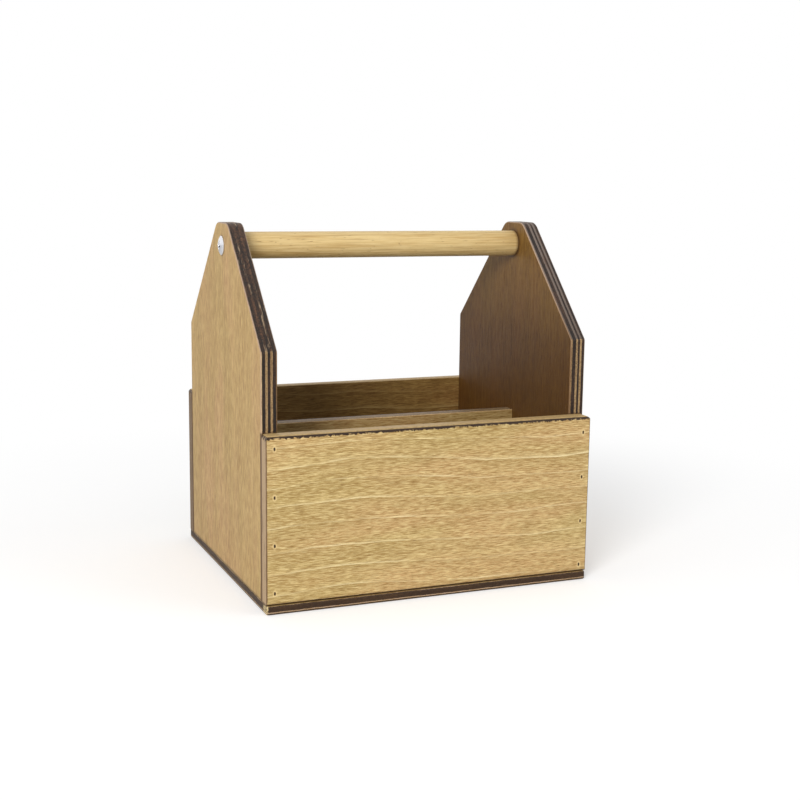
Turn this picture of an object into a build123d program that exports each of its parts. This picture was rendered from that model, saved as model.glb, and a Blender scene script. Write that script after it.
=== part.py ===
from build123d import *
import os

# A tabletop condiment caddy of stained plywood: two house-shaped gable ends, a front
# and a back panel pinned over the gables' edges, a thin bottom board under them all,
# a low divider along the middle, and a round handle screwed between the gable tops.
# Millimetres. +Z is up, the front faces -Y, and the origin is the middle of the
# bottom board's underside.

# overall
width = 240.0                # over the outer faces of the gable ends
depth = 210.0                # over the outer faces of the front and back panels
height = 253.0               # tabletop to the crown of a gable end

# boards
sheet = 11.5                 # thickness of the gable ends, panels and divider
base_thickness = 6.0
panel_height = 114.0         # from the bottom board up
divider_height = 103.0       # from the bottom board up
shoulder_height = 173.5      # tabletop to where a gable end starts to slope
crown_width = 28.0           # flat top of a gable end, measured to its sharp corners

# corners, seen square to the board
crown_radius = 12.0
shoulder_radius = 3.0
panel_corner_radius = 3.5
base_corner_radius = 2.0

# sanded edges
panel_round = 3.0            # outer top and bottom edges of the front and back panels
arris = 1.0                  # every other edge that a hand can reach

# handle
dowel_diameter = 19.0
dowel_drop = 16.0            # crown down to the middle of the handle
dowel_chamfer = 0.5

# dome-headed wood screws, one in each end of the handle
screw_head_diameter = 13.5
screw_head_height = 2.4
screw_rim = 0.5              # straight rim under the dome of the head
screw_diameter = 4.0
screw_length = 36.0
screw_point = 5.0
screw_clearance = 0.3        # round the shank in the gable end
pilot_clearance = 0.05       # round the shank in the handle

# T-headed pins, shot in from a pinner
pin_width = 1.3              # of the wire, along the head's wide side
pin_thickness = 1.0          # of the wire and the head
pin_head_width = 2.0
pin_head_height = 0.9
pin_length = 30.0
pin_point = 2.0
pin_set = 0.5                # how far a head is driven below the surface
pin_clearance = 0.1
panel_pins = 4               # in each end of a panel
panel_pin_margin = 8.5       # panel's top and bottom edges to the nearest pin
right_row_drop = 3.0         # how much lower the rows at the right-hand end were shot
gable_pins = 3               # up through the bottom board into each gable end
gable_pin_margin = 28.0      # gable's front and back edges to the nearest pin
edge_pins = 3                # up into the front panel, the back panel and the divider
edge_pin_margin = 40.0       # outer faces of the gable ends to the nearest pin

# what follows from them
gable_depth = depth - 2 * sheet
inner_width = width - 2 * sheet
gable_middle = (width - sheet) / 2
panel_middle = (depth - sheet) / 2
handle_height = height - dowel_drop


def gable_blank():
    # the house outline with its rounded crown and shoulders, then its sanded edges
    half = gable_depth / 2
    crown = crown_width / 2
    outline = make_face(Polyline(
        (-half, base_thickness), (half, base_thickness), (half, shoulder_height),
        (crown, height), (-crown, height), (-half, shoulder_height), close=True))
    outline = fillet(outline.vertices().group_by(Axis.Y)[-1], crown_radius)
    shoulders = [v for v in outline.vertices() if abs(abs(v.X) - half) < 0.01 and v.Y > base_thickness + 1]
    outline = fillet(shoulders, shoulder_radius)
    board = extrude(Plane.YZ * outline, amount=sheet)
    sides = board.faces().sort_by(Axis.X)
    return fillet(sides[0].edges() + sides[-1].edges(), arris)


def front_blank():
    # a board that laps both gable ends: what its outline, section and plan have in common,
    # so that it is well rounded along its top and bottom and only eased at its ends
    outline = Pos(0, panel_height / 2) * Rectangle(width, panel_height)
    outline = fillet(outline.vertices().group_by(Axis.Y)[-1], panel_corner_radius)
    section = Pos(-sheet / 2, panel_height / 2) * Rectangle(sheet, panel_height)
    section = fillet(section.vertices().group_by(Axis.X)[0], panel_round)
    section = fillet(section.vertices().group_by(Axis.X)[-1], arris)
    plan = Pos(0, -sheet / 2) * Rectangle(width, sheet)
    plan = fillet(plan.vertices(), arris)
    board = extrude(Plane.XZ * outline, amount=sheet)
    board &= extrude(Plane.YZ * section, amount=width / 2, both=True)
    board &= extrude(plan, amount=panel_height)
    return Pos(0, sheet - depth / 2, base_thickness) * board


def base_blank():
    board = Pos(0, 0, base_thickness / 2) * Box(width, depth, base_thickness)
    board = fillet(board.edges().filter_by(Axis.Z), base_corner_radius)
    sides = board.faces().sort_by(Axis.Z)
    return fillet(sides[0].edges() + sides[-1].edges(), arris)


def divider_blank():
    # stands on the bottom board between the gable ends, with its top edges sanded
    board = Box(inner_width, sheet, divider_height)
    board = fillet(board.faces().sort_by(Axis.Z)[-1].edges().filter_by(Axis.X), arris)
    return Pos(0, 0, base_thickness + divider_height / 2) * board


def dowel_blank():
    rod = Cylinder(dowel_diameter / 2, inner_width)
    rod = chamfer(rod.edges().filter_by(GeomType.CIRCLE), dowel_chamfer)
    return Pos(0, 0, handle_height) * Rot(0, 90, 0) * rod


def screw():
    # underside of the head at z = 0, point down; the dome is an arc over the straight rim
    head = screw_head_diameter / 2
    shank = screw_diameter / 2
    rise = screw_head_height - screw_rim
    dome = RadiusArc((head, screw_rim), (0, screw_head_height), -(head ** 2 + rise ** 2) / (2 * rise))
    body = Polyline((0, screw_head_height), (0, -screw_length), (shank, screw_point - screw_length),
                    (shank, 0), (head, 0), (head, screw_rim))
    return revolve(Plane.XZ * make_face(dome + body), Axis.Z)


def screw_hole(clearance):
    radius = screw_diameter / 2 + clearance
    drill = Polyline((0, 0), (radius, 0), (radius, screw_point - screw_length),
                     (0, -screw_length - clearance), close=True)
    return revolve(Plane.XZ * make_face(drill), Axis.Z)


def pin_shape(top, clearance):
    # a flat T with a point, head up; the surface of the wood is at y = 0
    head = pin_head_width / 2 + clearance
    wire = pin_width / 2 + clearance
    under_head = -pin_set - pin_head_height
    tip = -pin_set - pin_length - clearance
    side = Polyline((-head, top), (-head, under_head), (-wire, under_head), (-wire, tip + pin_point), (0, tip),
                    (wire, tip + pin_point), (wire, under_head), (head, under_head), (head, top), close=True)
    return extrude(Plane.YZ * make_face(side), amount=pin_thickness / 2 + clearance, both=True)


def spread(length, margin, count):
    # evenly spaced places along a length, centred on 0
    first = margin - length / 2
    step = (length - 2 * margin) / (count - 1)
    return [first + i * step for i in range(count)]


def panel_pin_places(side, end):
    # side is -1 for the front and 1 for the back, end is -1 for left and 1 for right
    middle = base_thickness + panel_height / 2 - (right_row_drop if end > 0 else 0)
    turn = Rot(-90 * side, 0, 0)
    return [Pos(end * gable_middle, side * depth / 2, middle + z) * turn
            for z in spread(panel_height, panel_pin_margin, panel_pins)]


def gable_pin_places(end):
    return [Pos(end * gable_middle, y, 0) * Rot(180, 0, 0)
            for y in spread(gable_depth, gable_pin_margin, gable_pins)]


def edge_pin_places(y):
    return [Pos(x, y, 0) * Rot(180, 0, 0) for x in spread(width, edge_pin_margin, edge_pins)]


def drilled(board, places, tool):
    return board - [place * tool for place in places]


# where everything that is driven in goes
pin = pin_shape(-pin_set, 0)
pin_hole = pin_shape(0, pin_clearance)
ends = {"left": -1, "right": 1}
sides = {"front": -1, "back": 1}
into_gable = {f"{side}_panel_pins_{end}": panel_pin_places(sides[side], ends[end])
              for side in sides for end in ends}
from_below = {f"base_pins_{end}": gable_pin_places(ends[end]) for end in ends}
from_below.update({f"base_pins_{side}": edge_pin_places(sides[side] * panel_middle) for side in sides})
from_below["divider_pins"] = edge_pin_places(0)
screw_places = {end: Pos(ends[end] * width / 2, 0, handle_height) * Rot(0, 90 * ends[end], 0) for end in ends}

nodes = {}
gable = gable_blank()
for end in ends:
    left_face = -width / 2 if end == "left" else width / 2 - sheet
    pins = into_gable[f"front_panel_pins_{end}"] + into_gable[f"back_panel_pins_{end}"]
    board = drilled(Pos(left_face, 0, 0) * gable, pins + from_below[f"base_pins_{end}"], pin_hole)
    nodes[f"gable_{end}"] = drilled(board, [screw_places[end]], screw_hole(screw_clearance))
    nodes[f"handle_screw_{end}"] = screw_places[end] * screw()

panel = {"front": front_blank()}
panel["back"] = mirror(panel["front"], Plane.XZ)
for side in sides:
    pins = into_gable[f"{side}_panel_pins_left"] + into_gable[f"{side}_panel_pins_right"]
    nodes[f"{side}_panel"] = drilled(panel[side], pins + from_below[f"base_pins_{side}"], pin_hole)

all_below = [place for places in from_below.values() for place in places]
nodes["bottom_board"] = drilled(base_blank(), all_below, pin_hole)
nodes["middle_divider"] = drilled(divider_blank(), from_below["divider_pins"], pin_hole)
nodes["handle_dowel"] = drilled(dowel_blank(), screw_places.values(), screw_hole(pilot_clearance))

for name, places in {**into_gable, **from_below}.items():
    nodes[name] = Compound(children=[place * pin for place in places])

os.makedirs("parts", exist_ok=True)
for name, shape in nodes.items():
    export_step(shape, f"parts/{name}.step")
    print(name, "solids", len(shape.solids()), "volume", round(shape.volume, 1))
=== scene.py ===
import math

import bmesh
import bpy
import numpy as np
from mathutils import Matrix, Vector


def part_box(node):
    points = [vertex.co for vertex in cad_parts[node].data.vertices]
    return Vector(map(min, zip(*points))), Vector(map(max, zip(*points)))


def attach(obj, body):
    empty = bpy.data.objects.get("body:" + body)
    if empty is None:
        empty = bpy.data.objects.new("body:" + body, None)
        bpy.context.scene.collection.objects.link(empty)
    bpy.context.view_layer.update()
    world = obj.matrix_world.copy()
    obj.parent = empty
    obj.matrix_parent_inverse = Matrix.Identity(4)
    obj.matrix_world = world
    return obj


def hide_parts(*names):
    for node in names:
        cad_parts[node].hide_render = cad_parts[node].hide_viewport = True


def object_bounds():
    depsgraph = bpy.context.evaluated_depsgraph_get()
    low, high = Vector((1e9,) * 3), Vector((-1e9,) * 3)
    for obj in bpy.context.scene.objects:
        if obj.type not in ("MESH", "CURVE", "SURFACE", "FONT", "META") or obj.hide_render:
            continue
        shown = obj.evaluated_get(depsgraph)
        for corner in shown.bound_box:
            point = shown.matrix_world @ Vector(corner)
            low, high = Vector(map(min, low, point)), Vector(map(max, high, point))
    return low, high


# A plywood condiment caddy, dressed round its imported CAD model. Metres, the front faces -Y.

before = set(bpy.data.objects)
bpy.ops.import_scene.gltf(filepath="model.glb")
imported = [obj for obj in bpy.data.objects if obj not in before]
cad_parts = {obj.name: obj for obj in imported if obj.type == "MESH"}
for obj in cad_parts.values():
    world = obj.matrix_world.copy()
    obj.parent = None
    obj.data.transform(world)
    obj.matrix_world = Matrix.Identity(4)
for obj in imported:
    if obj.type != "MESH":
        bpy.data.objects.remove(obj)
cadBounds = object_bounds()
mm = 0.001
metre = 1 / mm                             # in millimetres
print("frame loaded:", len(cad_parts), "nodes")


def cornersOf(node):
    # a node's lowest and highest corners in millimetres
    return [[round(value * metre, 3) for value in corner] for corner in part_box(node)]


gableLow, gableHigh = cornersOf("gable_right")
panelHigh = cornersOf("back_panel")[1]
dowelLow = cornersOf("handle_dowel")[0]
screwLow, screwHigh = cornersOf("handle_screw_right")
handleHeight = (screwLow[2] + screwHigh[2]) / 2
caddy = {"halfWidth": gableHigh[0],        # from the middle to a gable end's outer face
         "halfDepth": panelHigh[1],        # to a panel's outer face
         "gableEdge": gableHigh[1],        # to the joint of gable end and panel
         "sheet": gableHigh[0] - gableLow[0],
         "baseTop": gableLow[2],
         "panelTop": panelHigh[2],
         "handleHeight": handleHeight,
         "handleRadius": handleHeight - dowelLow[2]}


def toSceneLight(channel):
    # a colour channel written 0 to 255, as the linear light that shaders count in
    part = channel / 255
    return part / 12.92 if part <= 0.04045 else ((part + 0.055) / 1.055) ** 2.4


def tone(red, green, blue):
    return (toSceneLight(red), toSceneLight(green), toSceneLight(blue), 1.0)


class Wire:
    # a socket of a finish; the operators on it add Math nodes to that finish

    def __init__(self, finish, socket):
        self.finish = finish
        self.socket = socket

    def maths(self, operation, *others):
        return self.finish.add("ShaderNodeMath", {"operation": operation}, [self, *others])

    def __add__(self, other):
        return self.maths("ADD", other)

    __radd__ = __add__

    def __sub__(self, other):
        return self.maths("SUBTRACT", other)

    def __rsub__(self, other):
        return self.finish.add("ShaderNodeMath", {"operation": "SUBTRACT"}, [other, self])

    def __mul__(self, other):
        return self.maths("MULTIPLY", other)

    __rmul__ = __mul__

    def __truediv__(self, other):
        return self.maths("DIVIDE", other)

    def __pow__(self, other):
        return self.maths("POWER", other)

    def __abs__(self):
        return self.maths("ABSOLUTE")


def along(axis, stretch):
    # a scale of one to a millimetre in every direction, and one to stretch millimetres along an axis
    scale = [metre] * 3
    scale[axis] = metre / stretch
    return scale


class Finish:
    # one procedural material, or the sky, and the ways of adding nodes to it

    def __init__(self, name, store=None):
        self.holder = (bpy.data.materials if store is None else store).new(name)
        self.holder.use_nodes = True
        self.tree = self.holder.node_tree
        self.tree.nodes.clear()
        self.spot = None

    def add(self, kind, settings=None, values=None, out=0):
        # settings go first, then values or links, given by socket name or in order
        node = self.tree.nodes.new(kind)
        for key, value in (settings or {}).items():
            if key == "stops":
                ramp = node.color_ramp
                while len(ramp.elements) < len(value):
                    ramp.elements.new(1.0)
                for element, (place, colour) in zip(ramp.elements, value):
                    element.position = place
                    element.color = colour
            else:
                setattr(node, key, value)
        pairs = values.items() if isinstance(values, dict) else enumerate(values or [])
        for key, value in pairs:
            if isinstance(value, Wire):
                self.tree.links.new(value.socket, node.inputs[key])
            else:
                node.inputs[key].default_value = value
        return Wire(self, node.outputs[out]) if node.outputs else None

    def place(self):
        # Object coordinates, from one node however often they are asked for
        if self.spot is None:
            self.spot = self.add("ShaderNodeTexCoord", out="Object")
        return self.spot

    def parts(self, vector):
        wires = self.add("ShaderNodeSeparateXYZ", None, [vector])
        outputs = wires.socket.node.outputs
        return [Wire(self, output) for output in outputs]

    def millimetres(self):
        return [part * metre for part in self.parts(self.place())]

    def scaled(self, scale, shift=(0, 0, 0)):
        return self.add("ShaderNodeMapping", {"vector_type": "POINT"},
                        {"Vector": self.place(), "Scale": scale, "Location": shift})

    def noise(self, vector, scale=1.0, detail=3.0, rough=0.5, distortion=0.0):
        return self.add("ShaderNodeTexNoise", {"noise_dimensions": "3D", "normalize": True},
                        {"Vector": vector, "Scale": scale, "Detail": detail,
                         "Roughness": rough, "Distortion": distortion})

    def pattern(self, axis, stretch, shift=(0, 0, 0), span=None, **look):
        # a noise drawn out along an axis, as it is or eased in over a span of its values
        noise = self.noise(self.scaled(along(axis, stretch), shift), **look)
        return self.ease(noise, *span) if span else noise

    def patches(self, x, y, z, detail, rough):
        # a noise over any three coordinates; a plain number among them picks a slice of it
        return self.noise(self.add("ShaderNodeCombineXYZ", None, [x, y, z]), 1.0, detail, rough)

    def ease(self, wire, low, high, start=0.0, end=1.0):
        # a smooth step from start to end while the wire goes from low to high
        return self.add("ShaderNodeMapRange", {"interpolation_type": "SMOOTHSTEP"},
                        {"Value": wire, "From Min": low, "From Max": high, "To Min": start, "To Max": end})

    def fade(self, wire, low, high, start=1.0, end=0.0):
        return self.ease(wire, low, high, start, end)

    def most(self, first, *others):
        # the greatest of several
        for other in others:
            first = first.maths("MAXIMUM", other)
        return first

    def ramp(self, wire, stops):
        return self.add("ShaderNodeValToRGB", {"stops": stops}, [wire])

    def blend(self, factor, first, second, how="MIX"):
        return self.add("ShaderNodeMix", {"data_type": "RGBA", "blend_type": how},
                        {0: factor, 6: first, 7: second}, out=2)

    def between(self, factor, first, second):
        # a number part of the way from first to second
        return self.add("ShaderNodeMix", {"data_type": "FLOAT"}, {0: factor, 2: first, 3: second})

    def vectorBetween(self, factor, first, second):
        return self.add("ShaderNodeMix", {"data_type": "VECTOR"}, {0: factor, 4: first, 5: second}, out=1)

    def surface(self, colour, roughness, height, depth, fixed):
        # fixed holds the numbers that are the same all over the surface
        bump = self.add("ShaderNodeBump", None, {"Strength": 1.0, "Distance": depth * mm, "Height": height})
        return self.shown(self.add("ShaderNodeBsdfPrincipled", None, {
            "Base Color": colour, "Roughness": roughness, "Normal": bump, **fixed}))

    def shown(self, shader, output="ShaderNodeOutputMaterial"):
        self.add(output, None, {"Surface": shader})
        return self.holder


def distance(first, second):
    # the long side of a triangle whose two short sides stand square
    return (first * first + second * second).maths("SQRT")


def dress(node, material):
    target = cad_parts[node]
    target.data.materials.clear()
    target.data.materials.append(material)


# the photographed side: the camera's place in millimetres, its turns in degrees
camera = {"place": (-364.45, -918.58, 287.44), "yaw": 22.5286, "pitch": 9.5514, "roll": 0.7279,
          "lens": 60.285, "sensor": 36.0, "nearest": 0.01, "furthest": 100}


def makeCamera():
    yaw, pitch, roll = (math.radians(camera[key]) for key in ("yaw", "pitch", "roll"))
    ahead = Vector((math.sin(yaw) * math.cos(pitch), math.cos(yaw) * math.cos(pitch), -math.sin(pitch)))
    level = Vector((math.cos(yaw), -math.sin(yaw), 0))
    upright = level.cross(ahead)
    right = level * math.cos(roll) + upright * math.sin(roll)
    up = upright * math.cos(roll) - level * math.sin(roll)
    data = bpy.data.cameras.new("camera")
    data.sensor_fit = "HORIZONTAL"
    data.sensor_width = camera["sensor"]
    data.lens = camera["lens"]
    data.clip_start = camera["nearest"]
    data.clip_end = camera["furthest"]
    body = bpy.data.objects.new("camera", data)
    turned = Matrix((right, up, -ahead)).transposed().to_4x4()
    body.matrix_world = Matrix.Translation(Vector(camera["place"]) * mm) @ turned
    bpy.context.scene.collection.objects.link(body)
    bpy.context.scene.camera = body


studio = {"aim": (0, 0, 0.12), "sky": 0.5, "white": (1, 1, 1, 1),
          "lamps": [("keyLamp", (-1.7, -1.9, 1.15), 1.2, 60.0), ("fillLamp", (1.7, -1.5, 1.5), 1.6, 9.0),
                    ("topLamp", (0.1, 0.5, 2.4), 1.6, 4.0)],           # name, place, size and power
          "floorSize": 12.0, "floorColour": (0.78, 0.78, 0.78, 1), "floorGlow": 0.3,
          "floorFade": (0.2, 0.6),         # how far from the middle it turns plain white for the camera
          "floorDrop": 0.0002, "floorOverlap": 0.005}


def makeLamps():
    # soft lamps, all aimed at the middle of the caddy
    aim = Vector(studio["aim"])
    for name, place, size, power in studio["lamps"]:
        data = bpy.data.lights.new(name, "AREA")
        data.shape = "DISK"
        data.size = size
        data.energy = power
        lamp = bpy.data.objects.new(name, data)
        lamp.location = place
        lamp.rotation_euler = (aim - Vector(place)).to_track_quat("-Z", "Y").to_euler()
        bpy.context.scene.collection.objects.link(lamp)


def makeSky():
    # an even pale sky, white where the camera or a gloss sees it
    sky = Finish("studioSky", bpy.data.worlds)
    seen = sky.most(*(sky.add("ShaderNodeLightPath", out=ray) for ray in ("Is Camera Ray", "Is Glossy Ray")))
    strength = sky.ease(seen, 0.0, 1.0, studio["sky"], 1.0)
    glow = sky.add("ShaderNodeBackground", None, {"Color": studio["white"], "Strength": strength})
    bpy.context.scene.world = sky.shown(glow, "ShaderNodeOutputWorld")


def floorFinish():
    # pale paint that the camera sees fade to white, and that is see-through from below
    paint = Finish("floorPaint")
    diffuse = paint.add("ShaderNodeBsdfDiffuse", None, {"Color": studio["floorColour"]})
    glow = paint.add("ShaderNodeEmission", None, {"Color": studio["white"], "Strength": studio["floorGlow"]})
    near = paint.add("ShaderNodeAddShader", None, [diffuse, glow])
    far = paint.add("ShaderNodeEmission", None, {"Color": studio["white"], "Strength": 1.0})
    away = paint.add("ShaderNodeVectorMath", {"operation": "LENGTH"}, [paint.place()], out="Value")
    faded = paint.add("ShaderNodeMixShader", None, [paint.ease(away, *studio["floorFade"]), near, far])
    seen = paint.add("ShaderNodeLightPath", out="Is Camera Ray")
    mixed = paint.add("ShaderNodeMixShader", None, [seen, diffuse, faded])
    below = paint.add("ShaderNodeNewGeometry", out="Backfacing")
    clear = paint.add("ShaderNodeBsdfTransparent")
    return paint.shown(paint.add("ShaderNodeMixShader", None, [below, mixed, clear]))


def makeFloor():
    # four quads from a large square in to a hole under the caddy, just below its underside, which a view
    # from below sees: the corners of a square, times half its side or times half the hole's two sides
    half = studio["floorSize"] / 2
    square = np.array([(-1, -1, 0), (1, -1, 0), (1, 1, 0), (-1, 1, 0)])
    hole = [cadBounds[1][0] - studio["floorOverlap"], cadBounds[1][1] - studio["floorOverlap"], 0]
    points = np.concatenate([square * half, square * np.array(hole)]) + (0, 0, -studio["floorDrop"])
    mesh = bpy.data.meshes.new("floor")
    mesh.from_pydata(points.tolist(), [], [(i, (i + 1) % 4, (i + 1) % 4 + 4, i + 4) for i in range(4)])
    mesh.materials.append(floorFinish())
    floor = bpy.data.objects.new("floor", mesh)
    bpy.context.scene.collection.objects.link(floor)


makeCamera()
makeLamps()
makeSky()
makeFloor()
print("camera and studio ready")

# plies in millimetres from the outer face in, the first and every second one with the face grain
gablePlies = (1.0, 2.2, 1.6, 1.9, 1.6, 2.2, 1.0)
rightGablePlies = (0.6, 2.0, 1.6, 1.5, 1.7, 2.7, 1.4)
panelPlies = (0.5, 2.4, 1.8, 2.1, 1.8, 2.4, 0.5)
basePlies = (0.25, 0.95, 0.7, 3.85, 0.25)
plyBlur = 0.07                             # half the width of the step between two plies


def crossPlies(plies):
    # ramp stops that are white through every second ply
    total = sum(plies)
    stops = []
    depth = 0.0
    for index, ply in enumerate(plies[:-1]):
        depth += ply
        before, after = (0.0, 1.0) if index % 2 == 0 else (1.0, 0.0)
        stops.append(((depth - plyBlur) / total, (before, before, before, 1)))
        stops.append(((depth + plyBlur) / total, (after, after, after, 1)))
    return stops


# patterns in the veneer: how far each is drawn out along the grain, where its noise is cut, the noise itself
# in turns to a millimetre, and the span of its values over which it comes in
veneerPatterns = {
    "blush": dict(stretch=4.0, shift=(3, 1, 8), scale=0.03, detail=2.0, rough=0.5, span=(0.40, 0.64)),
    "olive": dict(stretch=5.0, shift=(4, 9, 2), scale=0.045, detail=2.0, rough=0.5, span=(0.42, 0.66)),
    "pores": dict(stretch=14.0, shift=(2, 8, 4), scale=2.2, detail=2.0, rough=0.6, span=(0.64, 0.74)),
    "flecks": dict(stretch=3.5, shift=(9, 4, 6), scale=0.62, detail=1.0, rough=0.4, span=(0.80, 0.86))}
veneerMix = {
    "clouds": dict(scale=0.045, detail=4.0, rough=0.6, distortion=0.5), "cloudSpan": (0.32, 0.68),
    "fibres": dict(scale=1.2, detail=4.0, rough=0.72), "fibreSpan": (0.46, 0.72), "fibreShare": 0.55,
    "dashes": dict(shift=(7, 3, 5), detail=3.0, rough=0.7), "paleDash": (0.46, 0.66),
    "deepDash": (0.32, 0.50), "poreShare": 0.42, "fleckShare": 0.6, "fleckColour": (92, 62, 34)}
growth = {
    "sway": dict(stretch=2.2, scale=0.011, detail=2.0, rough=0.5),
    "ripple": dict(stretch=1.5, scale=0.09, detail=2.0, rough=0.5), "rippleReach": 1.6,
    "spacing": (30.0, 3.7, 1.9),           # millimetres to a change of spacing, and two slices
    "strong": dict(stretch=5.0, shift=(5, 5, 1), scale=0.07, detail=2.0, rough=0.6, span=(0.40, 0.64)),
    "sharp": 26.0, "weakest": 0.2, "shadeCurve": 3.0}
cutEdges = {
    "drift": 20.0,                         # turns to a metre of the slow drift of the plies' lines
    "raggedLength": 4.0, "raggedSlice": (2.3, 5.1),
    "strip": (13.0, 0.9, 4.4), "area": (30.0, 5.0, 7.7),       # along, across and a slice of the burns
    "areaShare": 0.9, "drunk": (0.42, 0.72), "grit": (0.8, 1.2), "slope": (0.35, 0.65),
    "speckle": dict(stretch=1.0, scale=1.1, detail=3.0, rough=0.75),
    "burntShare": 0.5, "charred": (0.40, 0.74), "charFacing": (0.7, 1.05), "charLeast": 0.45,
    "rimReach": (1.0, 0.6), "rimTurn": (0.4, 0.7), "sandedFrom": (0.35, 0.6), "sandedTo": (0.93, 0.99)}
relief = {"dashes": 0.5, "fibres": 0.5, "pores": 0.4, "flecks": 0.5, "lines": 0.15, "speckle": 0.9,
          "faceShare": 0.7, "edgeShare": 0.3}
faceTurn = (0.78, 0.96)                    # how square to a board its surface is where the veneer takes over
fibreGloss = (0.2, 0.8)                    # the span of the fibres' noise over which the gloss changes
woodGloss = {"Specular IOR Level": 0.35, "IOR": 1.45}


def growthLines(wood, board, spots):
    # sharp on one side and fading on the other: what is left over when the way across the grain, bent by
    # slow noises, is divided by the gap, and 1 less that, to a high power
    grain, shift = board["along"], board.get("shift", (0, 0, 0))
    sway = wood.pattern(grain, shift=shift, **growth["sway"]) - 0.5
    ripple = wood.pattern(grain, shift=shift, **growth["ripple"]) - 0.5
    level = spots[board["side"]] + spots[grain] * board["lean"] + sway * board["sway"]
    level = level + ripple * growth["rippleReach"]
    length, *slices = growth["spacing"]
    spacing = wood.patches(level / length, *slices, 2.0, 0.5)
    ring = (level / board["lineGap"] + spacing * board["lineDrift"]).maths("FRACT")
    strong = wood.pattern(grain, **growth["strong"])
    lines = (1 - ring) ** growth["sharp"] * (strong * (1 - growth["weakest"]) + growth["weakest"])
    return lines, ring ** growth["shadeCurve"]


def veneerLook(wood, board, spots, fibres, inside):
    # the veneer's colour and height: clouds, dashes, fibres, growth lines, pores and flecks, one over another
    grain, mix = board["along"], veneerMix
    clouds = wood.pattern(grain, board["stretch"], board.get("shift", (0, 0, 0)), **mix["clouds"])
    dashes = wood.pattern(grain, board["dash"], scale=board["dashFine"], **mix["dashes"])
    blush, olive, pores, flecks = (wood.pattern(grain, **look) for look in veneerPatterns.values())
    lines, shade = growthLines(wood, board, spots)

    deep = tone(*board["veneerDeep"])
    cloudy = wood.ease(clouds, *mix["cloudSpan"])
    veneer = wood.blend(cloudy, tone(*board["veneerDark"]), tone(*board["veneer"]))
    for factor, colour in (
            (blush * board["blush"], tone(*board["veneerBlush"])),
            (olive * board["olive"], tone(*board["veneerOlive"])),
            (wood.ease(dashes, *mix["paleDash"]) * board["dashStrength"], tone(*board["veneerLight"])),
            (wood.fade(dashes, *mix["deepDash"]) * board["dashStrength"], deep),
            (wood.ease(fibres, *mix["fibreSpan"]) * mix["fibreShare"], deep),
            (shade * board["shade"], deep),
            (lines * board["lineStrength"], tone(*board["lineColour"])),
            (pores * mix["poreShare"], tone(*board["poreColour"])),
            (flecks * mix["fleckShare"], tone(*mix["fleckColour"]))):
        veneer = wood.blend(factor, veneer, colour)
    # painted shade: inner faces multiplied darker as if in shadow, boards with no inward side half as much
    veneer = wood.blend(inside * board["insideShadeDepth"], veneer, tone(*board["insideShadeColour"]), "MULTIPLY")
    height = (dashes * relief["dashes"] - fibres * relief["fibres"] - pores * relief["pores"]
              - flecks * relief["flecks"])
    return veneer, height, lines * relief["lines"]


def edgeLook(wood, board, spots, normal, depth, cross, run, fibres):
    # the cut edges' colour and height: the more a ply's grain faces out, the more stain it has drunk
    cut, through = cutEdges, spots[board["normal"]]
    endTurn, sideTurn = abs(normal[board["along"]]), abs(normal[board["side"]])
    facing = wood.between(cross, endTurn * board["endDark"],
                          sideTurn * board["crossTurn"] + board["crossDark"])
    strip, area = (wood.patches(run / length, through / width, layer, detail, rough) - 0.5
                   for (length, width, layer), detail, rough in
                   ((cut["strip"], 4.0, 0.7), (cut["area"], 2.0, 0.5)))
    burnt = strip + area * cut["areaShare"]
    drunk = wood.ease(facing + burnt * board["burn"], *cut["drunk"])
    speckle = wood.pattern(board["along"], **cut["speckle"])
    grit = wood.ease(fibres + speckle, *cut["grit"])
    slope = wood.ease(endTurn, *cut["slope"]) * board["slopeGrey"]
    palePly = wood.blend(grit, tone(*board["edgePale"]), tone(*board["edgePaleDark"]))
    palePly = wood.blend(slope, palePly, tone(*board["edgeGrey"]))
    charred = (wood.ease(speckle + burnt * cut["burntShare"], *cut["charred"])
               * wood.fade(facing, *cut["charFacing"], end=cut["charLeast"]))
    darkPly = wood.blend(charred, tone(*board["edgeDark"]), tone(*board["edgeBrown"]))
    half = sum(board["plies"]) / 2
    rim = wood.ease(abs(depth - half), *(half - reach for reach in cut["rimReach"]))
    rim = rim * wood.ease(endTurn, *cut["rimTurn"]) * board["rim"]
    edge = wood.blend(rim, wood.blend(drunk, palePly, darkPly), tone(*board["rimColour"]))
    return edge, speckle * relief["speckle"] - drunk


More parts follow.
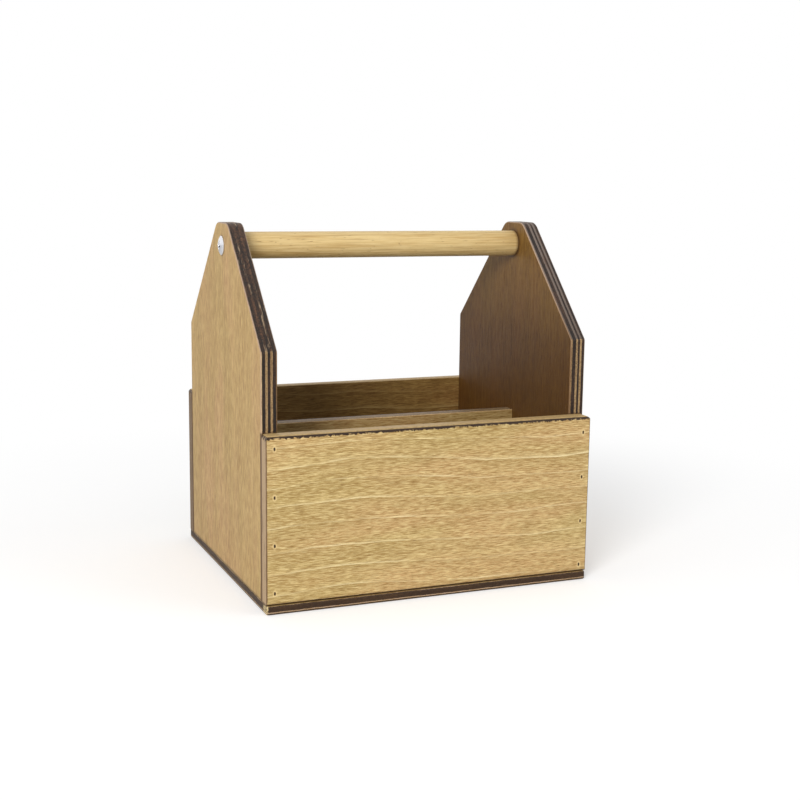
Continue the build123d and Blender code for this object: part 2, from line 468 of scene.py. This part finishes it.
def plywoodFinish(name, board):
    # veneer on the faces and plies on every cut edge, worked out from the depth under the face
    wood = Finish(name)
    spots = wood.millimetres()
    normal = wood.parts(wood.add("ShaderNodeTexCoord", out="Normal"))
    turn = normal[board["normal"]]
    drift = wood.noise(wood.scaled([cutEdges["drift"]] * 3), detail=2.0) - 0.5
    run = spots[board["along"]] - abs(spots[board["side"]])    # grows along straight and sloped edges alike
    ragged = wood.patches(run / cutEdges["raggedLength"], *cutEdges["raggedSlice"], 4.0, 0.75) - 0.5
    depth = board["depth"](*spots) + drift * board["plyDrift"] + ragged * board["ragged"]
    cross = wood.ramp(depth / sum(board["plies"]), crossPlies(board["plies"]))

    # fibres run along the grain of whichever ply shows
    shift = board.get("shift", (0, 0, 0))
    grain = wood.vectorBetween(cross, *(wood.scaled(along(board[way], board["stretch"]), shift)
                                        for way in ("along", "side")))
    fibres = wood.noise(grain, **veneerMix["fibres"])
    inside = wood.ease(turn * spots[board["normal"]] * board["inward"], -0.5, 0.5)
    veneer, faceHeight, lineHeight = veneerLook(wood, board, spots, fibres, inside)
    edge, edgeHeight = edgeLook(wood, board, spots, normal, depth, cross, run, fibres)

    onFace = wood.ease(abs(turn), *faceTurn)
    sanded = wood.ease(abs(turn), *cutEdges["sandedFrom"]) * wood.fade(abs(turn), *cutEdges["sandedTo"])
    colour = wood.blend(onFace, edge, veneer)
    colour = wood.blend(sanded * board["sanded"], colour, tone(*board["sandedColour"]))
    for mark in board["marks"]:
        colour = mark(wood, colour, spots, normal, inside)
    height = (faceHeight * (onFace * relief["faceShare"] + relief["edgeShare"])
              + edgeHeight * (1 - onFace) + lineHeight)
    roughness = wood.ease(fibres, *fibreGloss, *board["gloss"])
    return wood.surface(colour, roughness, height, board["relief"], woodGloss)


# in the marks a pair of numbers is a span, of millimetres, of a noise or of the normal
gableStainAndShade = {
    "colour": (74, 50, 26), "lowInnerShade": (150.0, 232.0), "lowInnerShadeShare": 0.9, "lowInnerShadeColour": (176, 156, 122),
    "panelTop": (-0.5, 1.0), "panelEdge": (0.8, 2.6), "panelShare": 0.85,
    "foot": (0.3, 2.6), "footShare": 0.8, "collarShadeAndStain": (0.1, 3.7), "collarShadeAndStainShare": 0.75,
    "washer": (-0.15, 1.45), "washerShare": 0.45}


def gableJoints(wood, colour, spots, normal, inside):
    # stain pooled where the panels and the bottom board meet a gable end, a darker ring round the screw,
    # painted shade with pooled stain round the handle, and painted shade on the inner face low down
    x, y, z = spots
    darkening = gableStainAndShade
    # painted shade: the inner face is multiplied darker low down, as if shaded inside the caddy
    lowInnerShade = wood.fade(z, *darkening["lowInnerShade"]) * darkening["lowInnerShadeShare"] * inside
    colour = wood.blend(lowInnerShade, colour, tone(*darkening["lowInnerShadeColour"]), "MULTIPLY")
    pooled = (wood.fade(caddy["gableEdge"] - abs(y), *darkening["panelEdge"])
              * wood.fade(z - caddy["panelTop"], *darkening["panelTop"]) * darkening["panelShare"])
    foot = wood.fade(z - caddy["baseTop"], *darkening["foot"]) * darkening["footShare"]
    away = distance(y, z - caddy["handleHeight"])
    # painted shade with pooled stain: a dark ring on the inner face round the end of the handle
    collarShadeAndStain = wood.fade(away - caddy["handleRadius"], *darkening["collarShadeAndStain"]) * inside * darkening["collarShadeAndStainShare"]
    washer = wood.fade(away - screw["headRadius"], *darkening["washer"]) * (1 - inside) * darkening["washerShare"]
    return wood.blend(wood.most(pooled, foot, collarShadeAndStain, washer), colour, tone(*darkening["colour"]))


panelStain = {
    "colour": (74, 50, 24), "back": (0.9, 2.9), "backEnd": (0.6, 1.4), "backShare": 0.9,
    "foot": (0.4, 2.2), "footShare": 0.8, "farSide": (0.0, 1.0), "farEnd": (0.2, 1.0), "farShare": 0.7,
    "broken": (6.0, 1.5, 3.3),             # up, across and a slice of the noise that breaks the corner's line
    "cornerFrom": (0.12, 0.3), "cornerTo": (0.7, 0.9),
    "cornerSpan": (0.36, 0.56), "cornerShare": (0.2, 0.55)}


def panelJoints(wood, colour, spots, normal, inside):
    # darker towards the joints and the bottom board, with a ragged line down the corner of each end
    x, y, z = spots
    darkening, turn = panelStain, abs(normal[0])
    end = caddy["halfWidth"] - abs(x)
    back = wood.fade(abs(y) - caddy["gableEdge"], *darkening["back"]) * wood.fade(end, *darkening["backEnd"])
    foot = wood.fade(z - caddy["baseTop"], *darkening["foot"])
    farEnd = wood.ease(y, *darkening["farSide"]) * wood.fade(end, *darkening["farEnd"])
    upward, across, layer = darkening["broken"]
    broken = wood.patches(z / upward, y / across, layer, 3.0, 0.7)
    corner = wood.ease(turn, *darkening["cornerFrom"]) * wood.fade(turn, *darkening["cornerTo"]) * (1 - inside)
    corner = corner * wood.ease(broken, *darkening["cornerSpan"], *darkening["cornerShare"])
    pooled = wood.most(back * darkening["backShare"], foot * darkening["footShare"],
                       farEnd * darkening["farShare"], corner)
    return wood.blend(pooled, colour, tone(*darkening["colour"]))


ledge = {
    "paleColour": (190, 160, 108), "darkColour": (44, 27, 11), "grit": (3.0, 2.5, 3.0),
    "gaps": (9.0, 6.1, 2.2),               # millimetres along to a gap, and two slices
    "top": (0.72, 0.86), "topSpan": (0.3, 0.6), "topShare": (0.5, 0.9),
    "from": (0.04, 0.14), "to": (0.70, 0.82), "climb": 0.6,
    "dashes": (0.62, 0.74), "gapSpan": (0.34, 0.44), "gapShare": (0.35, 1.0)}


def ledgeWear(wood, colour, spots, normal, inside):
    # the top of a panel is rubbed pale, and the rounding below it is sanded through to a dark ply in dashes
    upward = normal[2]
    gritX, gritZ, gritY = ledge["grit"]
    length, *slices = ledge["gaps"]
    grit = wood.patches(spots[0] / gritX, spots[2] / gritZ, spots[1] / gritY, 4.0, 0.75)
    gaps = wood.patches(spots[0] / length, *slices, 3.0, 0.7)
    pale = wood.ease(upward, *ledge["top"]) * wood.ease(grit, *ledge["topSpan"], *ledge["topShare"])
    colour = wood.blend(pale, colour, tone(*ledge["paleColour"]))
    rounding = wood.ease(upward, *ledge["from"]) * wood.fade(upward, *ledge["to"]) * (1 - inside)
    dashes = wood.ease(grit + upward * ledge["climb"], *ledge["dashes"])
    dashes = dashes * wood.ease(gaps, *ledge["gapSpan"], *ledge["gapShare"])
    return wood.blend(rounding * dashes, colour, tone(*ledge["darkColour"]))


pinRow = {"count": 4, "head": 2.0, "narrow": 1.4, "tall": 0.7, "halo": (1.1, 2.8), "haloShare": 0.55,
          "haloColour": (232, 206, 150), "core": (0.8, 1.35), "coreShare": 0.8, "coreColour": (84, 56, 22)}


def pinMarks(wood, colour, spots, normal, inside):
    # pale bruises and dark centres at the rows of pins, which sit lower at the right-hand end: the way to
    # the nearest pin is how far the height above the lowest one is off a whole number of gaps
    x, y, z = spots
    leftLow, leftHigh = cornersOf("front_panel_pins_left")
    rightLow = cornersOf("front_panel_pins_right")[0]
    gap = (leftHigh[2] - leftLow[2] - pinRow["head"]) / (pinRow["count"] - 1)
    lowest = leftLow[2] + pinRow["head"] / 2
    drop = wood.ease(x, -1.0, 1.0) * (leftLow[2] - rightLow[2])
    away = (((z + drop - lowest) / gap + 0.5).maths("FRACT") - 0.5) * gap
    across = (abs(x) - abs(leftLow[0] + leftHigh[0]) / 2) * pinRow["narrow"]
    reach = (across * across + away * away * pinRow["tall"]).maths("SQRT")
    halo = wood.fade(reach, *pinRow["halo"]) * (1 - inside) * pinRow["haloShare"]
    core = wood.fade(reach, *pinRow["core"]) * (1 - inside) * pinRow["coreShare"]
    colour = wood.blend(halo, colour, tone(*pinRow["haloColour"]))
    return wood.blend(core, colour, tone(*pinRow["coreColour"]))


bare = {"colour": (214, 192, 142), "fromFront": (6.0, 9.0), "fromEnd": (0.8, 1.6), "share": 0.85,
        "grit": dict(stretch=1.0, scale=0.7, detail=3.0, rough=0.7, span=(0.35, 0.6))}


def bareCorner(wood, colour, spots, normal, inside):
    # a patch near the front left corner of the bottom board that took little stain
    x, y, z = spots
    patch = (wood.fade(y + caddy["halfDepth"], *bare["fromFront"])
             * wood.fade(x + caddy["halfWidth"], *bare["fromEnd"]))
    return wood.blend(patch * wood.pattern(0, **bare["grit"]) * bare["share"], colour, tone(*bare["colour"]))


# a dome-headed wood screw, in millimetres
screw = {
    "headRadius": (screwHigh[2] - screwLow[2]) / 2, "headHeight": screwHigh[0] - caddy["halfWidth"],
    "length": caddy["halfWidth"] - screwLow[0], "rim": 0.5, "rimEase": 0.12, "shank": 2.0, "core": 1.35,
    "point": 5.0, "pointCurve": 0.7, "pitch": 1.8, "ridge": 0.22, "ridgeCurve": 0.8, "plain": 2.0,
    "recessReach": 3.3, "recessDepth": 1.9, "recessWidth": 1.5, "recessWall": 0.16, "recessTaper": 0.25,
    "recessEnd": 1.1, "around": 180,
    "spin": {-1: 24.0, 1: -37.0}}          # degrees that each screw was left at
domeRise = screw["headHeight"] - screw["rim"]
domeArc = (screw["headRadius"] ** 2 + domeRise ** 2) / (2 * domeRise)

# the boards: "normal", "along" and "side" are the axes through a board, along its grain and across it, and
# "depth" is how far a place is below the outer face
gableBoard = {
    "plies": gablePlies, "normal": 0, "along": 2, "side": 1, "inward": -1.0, "marks": [gableJoints],
    "depth": lambda x, y, z: caddy["halfWidth"] - abs(x), "plyDrift": 0.5, "ragged": 0.6,
    "stretch": 24.0, "dash": 15.0, "dashFine": 1.9, "dashStrength": 0.95,
    "veneer": (190, 158, 101), "veneerDark": (166, 133, 80), "veneerLight": (207, 177, 120),
    "veneerDeep": (137, 104, 60), "veneerBlush": (190, 146, 104), "blush": 0.6,
    "veneerOlive": (166, 140, 82), "olive": 0.4, "poreColour": (108, 75, 38),
    "insideShadeColour": (158, 138, 96), "insideShadeDepth": 0.95,
    "lineColour": (217, 191, 137), "lineStrength": 0.4, "lineGap": 15.0, "lineDrift": 2.4, "lean": 0.02,
    "sway": 22.0, "shade": 0.14, "endDark": 1.1, "crossTurn": 1.0, "crossDark": 0.3, "burn": 1.5,
    "edgePale": (188, 160, 118), "edgePaleDark": (118, 92, 62), "edgeGrey": (150, 134, 118),
    "slopeGrey": 0.5, "edgeDark": (24, 16, 11), "edgeBrown": (104, 72, 50), "rim": 0.55,
    "rimColour": (128, 110, 96), "sanded": 0.8, "sandedColour": (172, 146, 124),
    "gloss": (0.42, 0.6), "relief": 0.12}

# the other gable end drank less stain on its slopes, so that its plies show as grey lines
rightGableBoard = dict(
    gableBoard, plies=rightGablePlies, endDark=0.5, burn=0.9, shift=(0, 70, 30), edgeGrey=(106, 94, 87),
    slopeGrey=0.95, insideShadeColour=(160, 141, 94))

panelBoard = {
    "plies": panelPlies, "normal": 1, "along": 0, "side": 2, "inward": -1.0,
    "marks": [panelJoints, ledgeWear, pinMarks],
    "depth": lambda x, y, z: caddy["halfDepth"] - abs(y), "plyDrift": 0.4, "ragged": 0.9,
    "stretch": 24.0, "dash": 16.0, "dashFine": 2.4, "dashStrength": 0.9,
    "veneer": (192, 166, 109), "veneerDark": (165, 135, 80), "veneerLight": (220, 198, 142),
    "veneerDeep": (129, 98, 47), "veneerBlush": (196, 156, 106), "blush": 0.7,
    "veneerOlive": (170, 146, 86), "olive": 0.4, "poreColour": (107, 76, 36),
    "insideShadeColour": (164, 142, 106), "insideShadeDepth": 0.9,
    "lineColour": (240, 224, 176), "lineStrength": 0.95, "lineGap": 15.0, "lineDrift": 2.6, "lean": 0.0,
    "sway": 28.0, "shade": 0.2, "endDark": 0.35, "crossTurn": 1.0, "crossDark": 0.3, "burn": 1.1,
    "edgePale": (198, 168, 124), "edgePaleDark": (150, 120, 80), "edgeGrey": (168, 142, 112),
    "slopeGrey": 0.7, "edgeDark": (48, 31, 16), "edgeBrown": (86, 60, 34), "rim": 0.85,
    "rimColour": (86, 60, 34), "sanded": 0.0, "sandedColour": (184, 152, 112),
    "gloss": (0.42, 0.6), "relief": 0.12}

dividerBoard = dict(
    panelBoard, plies=gablePlies, depth=lambda x, y, z: y + caddy["sheet"] / 2, shift=(40, 30, 20),
    inward=0.0, insideShadeDepth=1.0, marks=[])

baseBoard = dict(
    panelBoard, plies=basePlies, normal=2, side=1, depth=lambda x, y, z: z, shift=(11, 5, 60),
    inward=0.0, insideShadeDepth=1.0, endDark=0.2, crossTurn=0.0, crossDark=1.0, rim=0.0,
    edgePale=(176, 150, 126), marks=[bareCorner])

for names, board in ((("gable_left",), gableBoard), (("gable_right",), rightGableBoard),
                     (("front_panel", "back_panel"), panelBoard),
                     (("middle_divider",), dividerBoard), (("bottom_board",), baseBoard)):
    finish = plywoodFinish(names[0] + "Plywood", board)
    for node in names:
        dress(node, finish)
print("boards finished")

handle = {
    "clouds": dict(stretch=30.0, scale=0.12, detail=3.0, rough=0.6, distortion=0.3), "cloudSpan": (0.3, 0.7),
    "fibres": dict(stretch=30.0, scale=1.2, detail=4.0, rough=0.65), "fibreSpan": (0.36, 0.66),
    "streaks": dict(stretch=40.0, shift=(6, 2, 7), scale=0.8, detail=3.0, rough=0.7, span=(0.52, 0.72)),
    "dashes": dict(stretch=9.0, shift=(3, 8, 2), scale=1.3, detail=2.0, rough=0.55, span=(0.66, 0.74)),
    "flecks": dict(stretch=2.5, shift=(1, 6, 4), scale=0.5, detail=1.0, rough=0.4, span=(0.74, 0.82)),
    "dark": (178, 144, 86), "pale": (206, 178, 122), "fibreColour": (220, 197, 144), "fibreShare": 0.6,
    "streakColour": (150, 116, 66), "streakShare": 0.6, "dashColour": (120, 86, 42), "dashShare": 0.65,
    "fleckColour": (112, 80, 40), "fleckShare": 0.6, "endColour": (96, 64, 30), "endShare": 0.75,
    "end": (-3.0, 0.0),                    # millimetres from the gable end's inner face
    "gloss": (0.38, 0.55), "relief": 0.1}


def dowelFinish():
    wood = Finish("dowelWood")
    x = wood.millimetres()[0]
    clouds, fibres, streaks, dashes, flecks = (
        wood.pattern(0, **handle[name]) for name in ("clouds", "fibres", "streaks", "dashes", "flecks"))
    joint = abs(x) - (caddy["halfWidth"] - caddy["sheet"])
    colour = wood.blend(wood.ease(clouds, *handle["cloudSpan"]), tone(*handle["dark"]), tone(*handle["pale"]))
    # the last of these is painted shade with some stain, darkening the dowel over its last 3 mm to each gable
    for factor, name in ((wood.ease(fibres, *handle["fibreSpan"]), "fibre"), (streaks, "streak"),
                         (dashes, "dash"), (flecks, "fleck"), (wood.ease(joint, *handle["end"]), "end")):
        colour = wood.blend(factor * handle[name + "Share"], colour, tone(*handle[name + "Colour"]))
    roughness = wood.ease(fibres, *fibreGloss, *handle["gloss"])
    return wood.surface(colour, roughness, fibres - dashes, handle["relief"],
                        {"Specular IOR Level": 0.4, "IOR": 1.45})


dress("handle_dowel", dowelFinish())
print("handle finished")

metals = {
    "zincDark": (222, 223, 230), "zincPale": (250, 250, 252), "zincCloud": (260, 260, 260),
    "zincScratch": (900, 4200, 300), "zincGloss": (0.22, 0.36), "zincRelief": 0.02,
    "recessShadeColour": (58, 54, 54), "recessShadeSpan": (0.2, 1.1), "recessShadeShare": 0.85,
    "steelDark": (52, 38, 28), "steelPale": (104, 84, 64), "steelCloud": (900, 900, 900),
    "steelGloss": (0.4, 0.7), "steelRelief": 0.03, "cloudSpan": (0.3, 0.7)}


def zincFinish():
    # painted shade in the recess, told by how far a place lies below the dome, which drops by the square
    # of the distance from the screw's axis over twice its arc
    zinc = Finish("brightZinc")
    cloud = zinc.noise(zinc.scaled(metals["zincCloud"]), 1.0, 4.0, 0.6)
    scratches = zinc.noise(zinc.scaled(metals["zincScratch"]), 1.0, 2.0, 0.5)
    x, y, z = zinc.millimetres()
    up = z - caddy["handleHeight"]
    under = caddy["halfWidth"] + screw["headHeight"] - (y * y + up * up) / (2 * domeArc) - abs(x)
    pit = zinc.ease(under, *metals["recessShadeSpan"]) * metals["recessShadeShare"]
    colour = zinc.blend(cloud, tone(*metals["zincDark"]), tone(*metals["zincPale"]))
    colour = zinc.blend(pit, colour, tone(*metals["recessShadeColour"]))
    roughness = zinc.ease(cloud, *metals["cloudSpan"], *metals["zincGloss"])
    return zinc.surface(colour, roughness, scratches, metals["zincRelief"], {"Metallic": 1.0})


def steelFinish():
    steel = Finish("stainedSteel")
    cloud = steel.noise(steel.scaled(metals["steelCloud"]), 1.0, 3.0, 0.6)
    colour = steel.blend(cloud, tone(*metals["steelDark"]), tone(*metals["steelPale"]))
    roughness = steel.ease(cloud, *metals["cloudSpan"], *metals["steelGloss"])
    return steel.surface(colour, roughness, cloud, metals["steelRelief"], {"Metallic": 0.6})


pinSteel = steelFinish()
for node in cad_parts:
    if "pins" in node:
        dress(node, pinSteel)
print("pins finished")


def recessArm(lengthwise, crosswise):
    # one arm of the recess, 1 inside and 0 outside: it narrows towards its ends, and its walls lean
    outwards = np.abs(lengthwise) / screw["recessReach"]
    wall = screw["recessWall"] + screw["recessTaper"] * np.clip(outwards, 0, 1)
    half = screw["recessWidth"] / 2 * (1 - screw["recessTaper"] * outwards)
    sides = np.clip((half - np.abs(crosswise)) / wall + 0.5, 0, 1)
    ends = np.clip((screw["recessReach"] - np.abs(lengthwise)) / screw["recessEnd"], 0, 1)
    return sides * ends


def headRows(turn):
    # rings from the dome's top out to its rim: height = arc over the rim less a cross-shaped pit
    rings = np.concatenate([np.linspace(0.06, 4.2, 52),                # finer over the recess
                            np.linspace(4.3, screw["headRadius"], 22)])
    radius = rings[:, None] * np.ones_like(turn)
    u, v = radius * np.cos(turn), radius * np.sin(turn)
    pit = np.maximum(recessArm(u, v), recessArm(v, u))
    pit = pit * pit * (3 - 2 * pit)                                    # with its edges eased
    dome = np.sqrt(domeArc ** 2 - radius ** 2) - domeArc + screw["headHeight"]
    return np.stack([u, v, dome - screw["recessDepth"] * pit], -1)


def rimRows(turn):
    # rings from the rim round under the head and in to the shank
    head, ease = screw["headRadius"], screw["rimEase"]
    places = [(head, screw["rim"] / 2), (head, ease), (head - ease, 0.0), (head * 0.6, 0.0),
              (screw["shank"] + 0.2, 0.0)]
    return np.stack([np.stack([radius * np.cos(turn), radius * np.sin(turn), np.full_like(turn, height)], -1)
                     for radius, height in places])


def shankRows(turn):
    # rings down the shank: radius = core + a ridge that winds with the angle, tapered towards the point
    down = np.linspace(0.0, screw["length"] - 0.05, 240)[:, None]
    taper = np.clip((screw["length"] - down) / screw["point"], 0, 1) ** screw["pointCurve"]
    phase = (down / screw["pitch"] + turn / (2 * np.pi)) % 1.0
    ridge = np.clip(1 - np.abs(phase - 0.5) / screw["ridge"], 0, 1) ** screw["ridgeCurve"]
    plain = 1 - np.clip((down - screw["plain"]) / screw["plain"], 0, 1)
    radius = (screw["core"] + (screw["shank"] - screw["core"]) * np.maximum(ridge, plain)) * taper
    return np.stack([radius * np.cos(turn), radius * np.sin(turn), np.broadcast_to(-down, radius.shape)], -1)


def screwMesh(side):
    # rows of rings over the head, under it and down the shank, closed by a point at either end
    turn = np.linspace(0, 2 * np.pi, screw["around"], endpoint=False)
    grid = np.concatenate([headRows(turn), rimRows(turn), shankRows(turn)], 0)
    tips = [(0, 0, screw["headHeight"] - screw["recessDepth"]), (0, 0, -screw["length"])]
    points = np.concatenate([grid.reshape(-1, 3), tips])
    count, around = grid.shape[:2]
    i, j = np.meshgrid(np.arange(count - 1), np.arange(around), indexing="ij")
    k = (j + 1) % around
    quads = np.stack([i * around + j, (i + 1) * around + j, (i + 1) * around + k, i * around + k], -1)
    top, tip, last = len(points) - 2, len(points) - 1, (count - 1) * around
    pairs = [(a, (a + 1) % around) for a in range(around)]
    caps = [(top, a, b) for a, b in pairs] + [(last + b, last + a, tip) for a, b in pairs]

    # the head looks out along X from the end of the handle, turned about its own axis
    spin = math.radians(screw["spin"][side])
    across, up = -side * points[:, 0], points[:, 1]
    placed = np.stack([side * (caddy["halfWidth"] + points[:, 2]),
                       across * math.cos(spin) - up * math.sin(spin),
                       caddy["handleHeight"] + across * math.sin(spin) + up * math.cos(spin)], -1)
    return placed * mm, quads.reshape(-1, 4).tolist() + caps


def outward(mesh):
    # makes every face of a closed mesh point out
    work = bmesh.new()
    work.from_mesh(mesh)
    bmesh.ops.recalc_face_normals(work, faces=work.faces)
    work.to_mesh(mesh)
    work.free()


zinc = zincFinish()
for name, side in (("left", -1), ("right", 1)):
    points, faces = screwMesh(side)
    mesh = bpy.data.meshes.new("screw_" + name)
    mesh.from_pydata(points.tolist(), [], faces)
    mesh.materials.append(zinc)
    outward(mesh)
    mesh.shade_smooth()
    mesh.set_sharp_from_angle(angle=math.radians(35))
    body = bpy.data.objects.new("screw_" + name, mesh)
    bpy.context.scene.collection.objects.link(body)
    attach(body, "root")
    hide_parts("handle_screw_" + name)
print("screws made")

bpy.context.scene.view_settings.view_transform = "Standard"
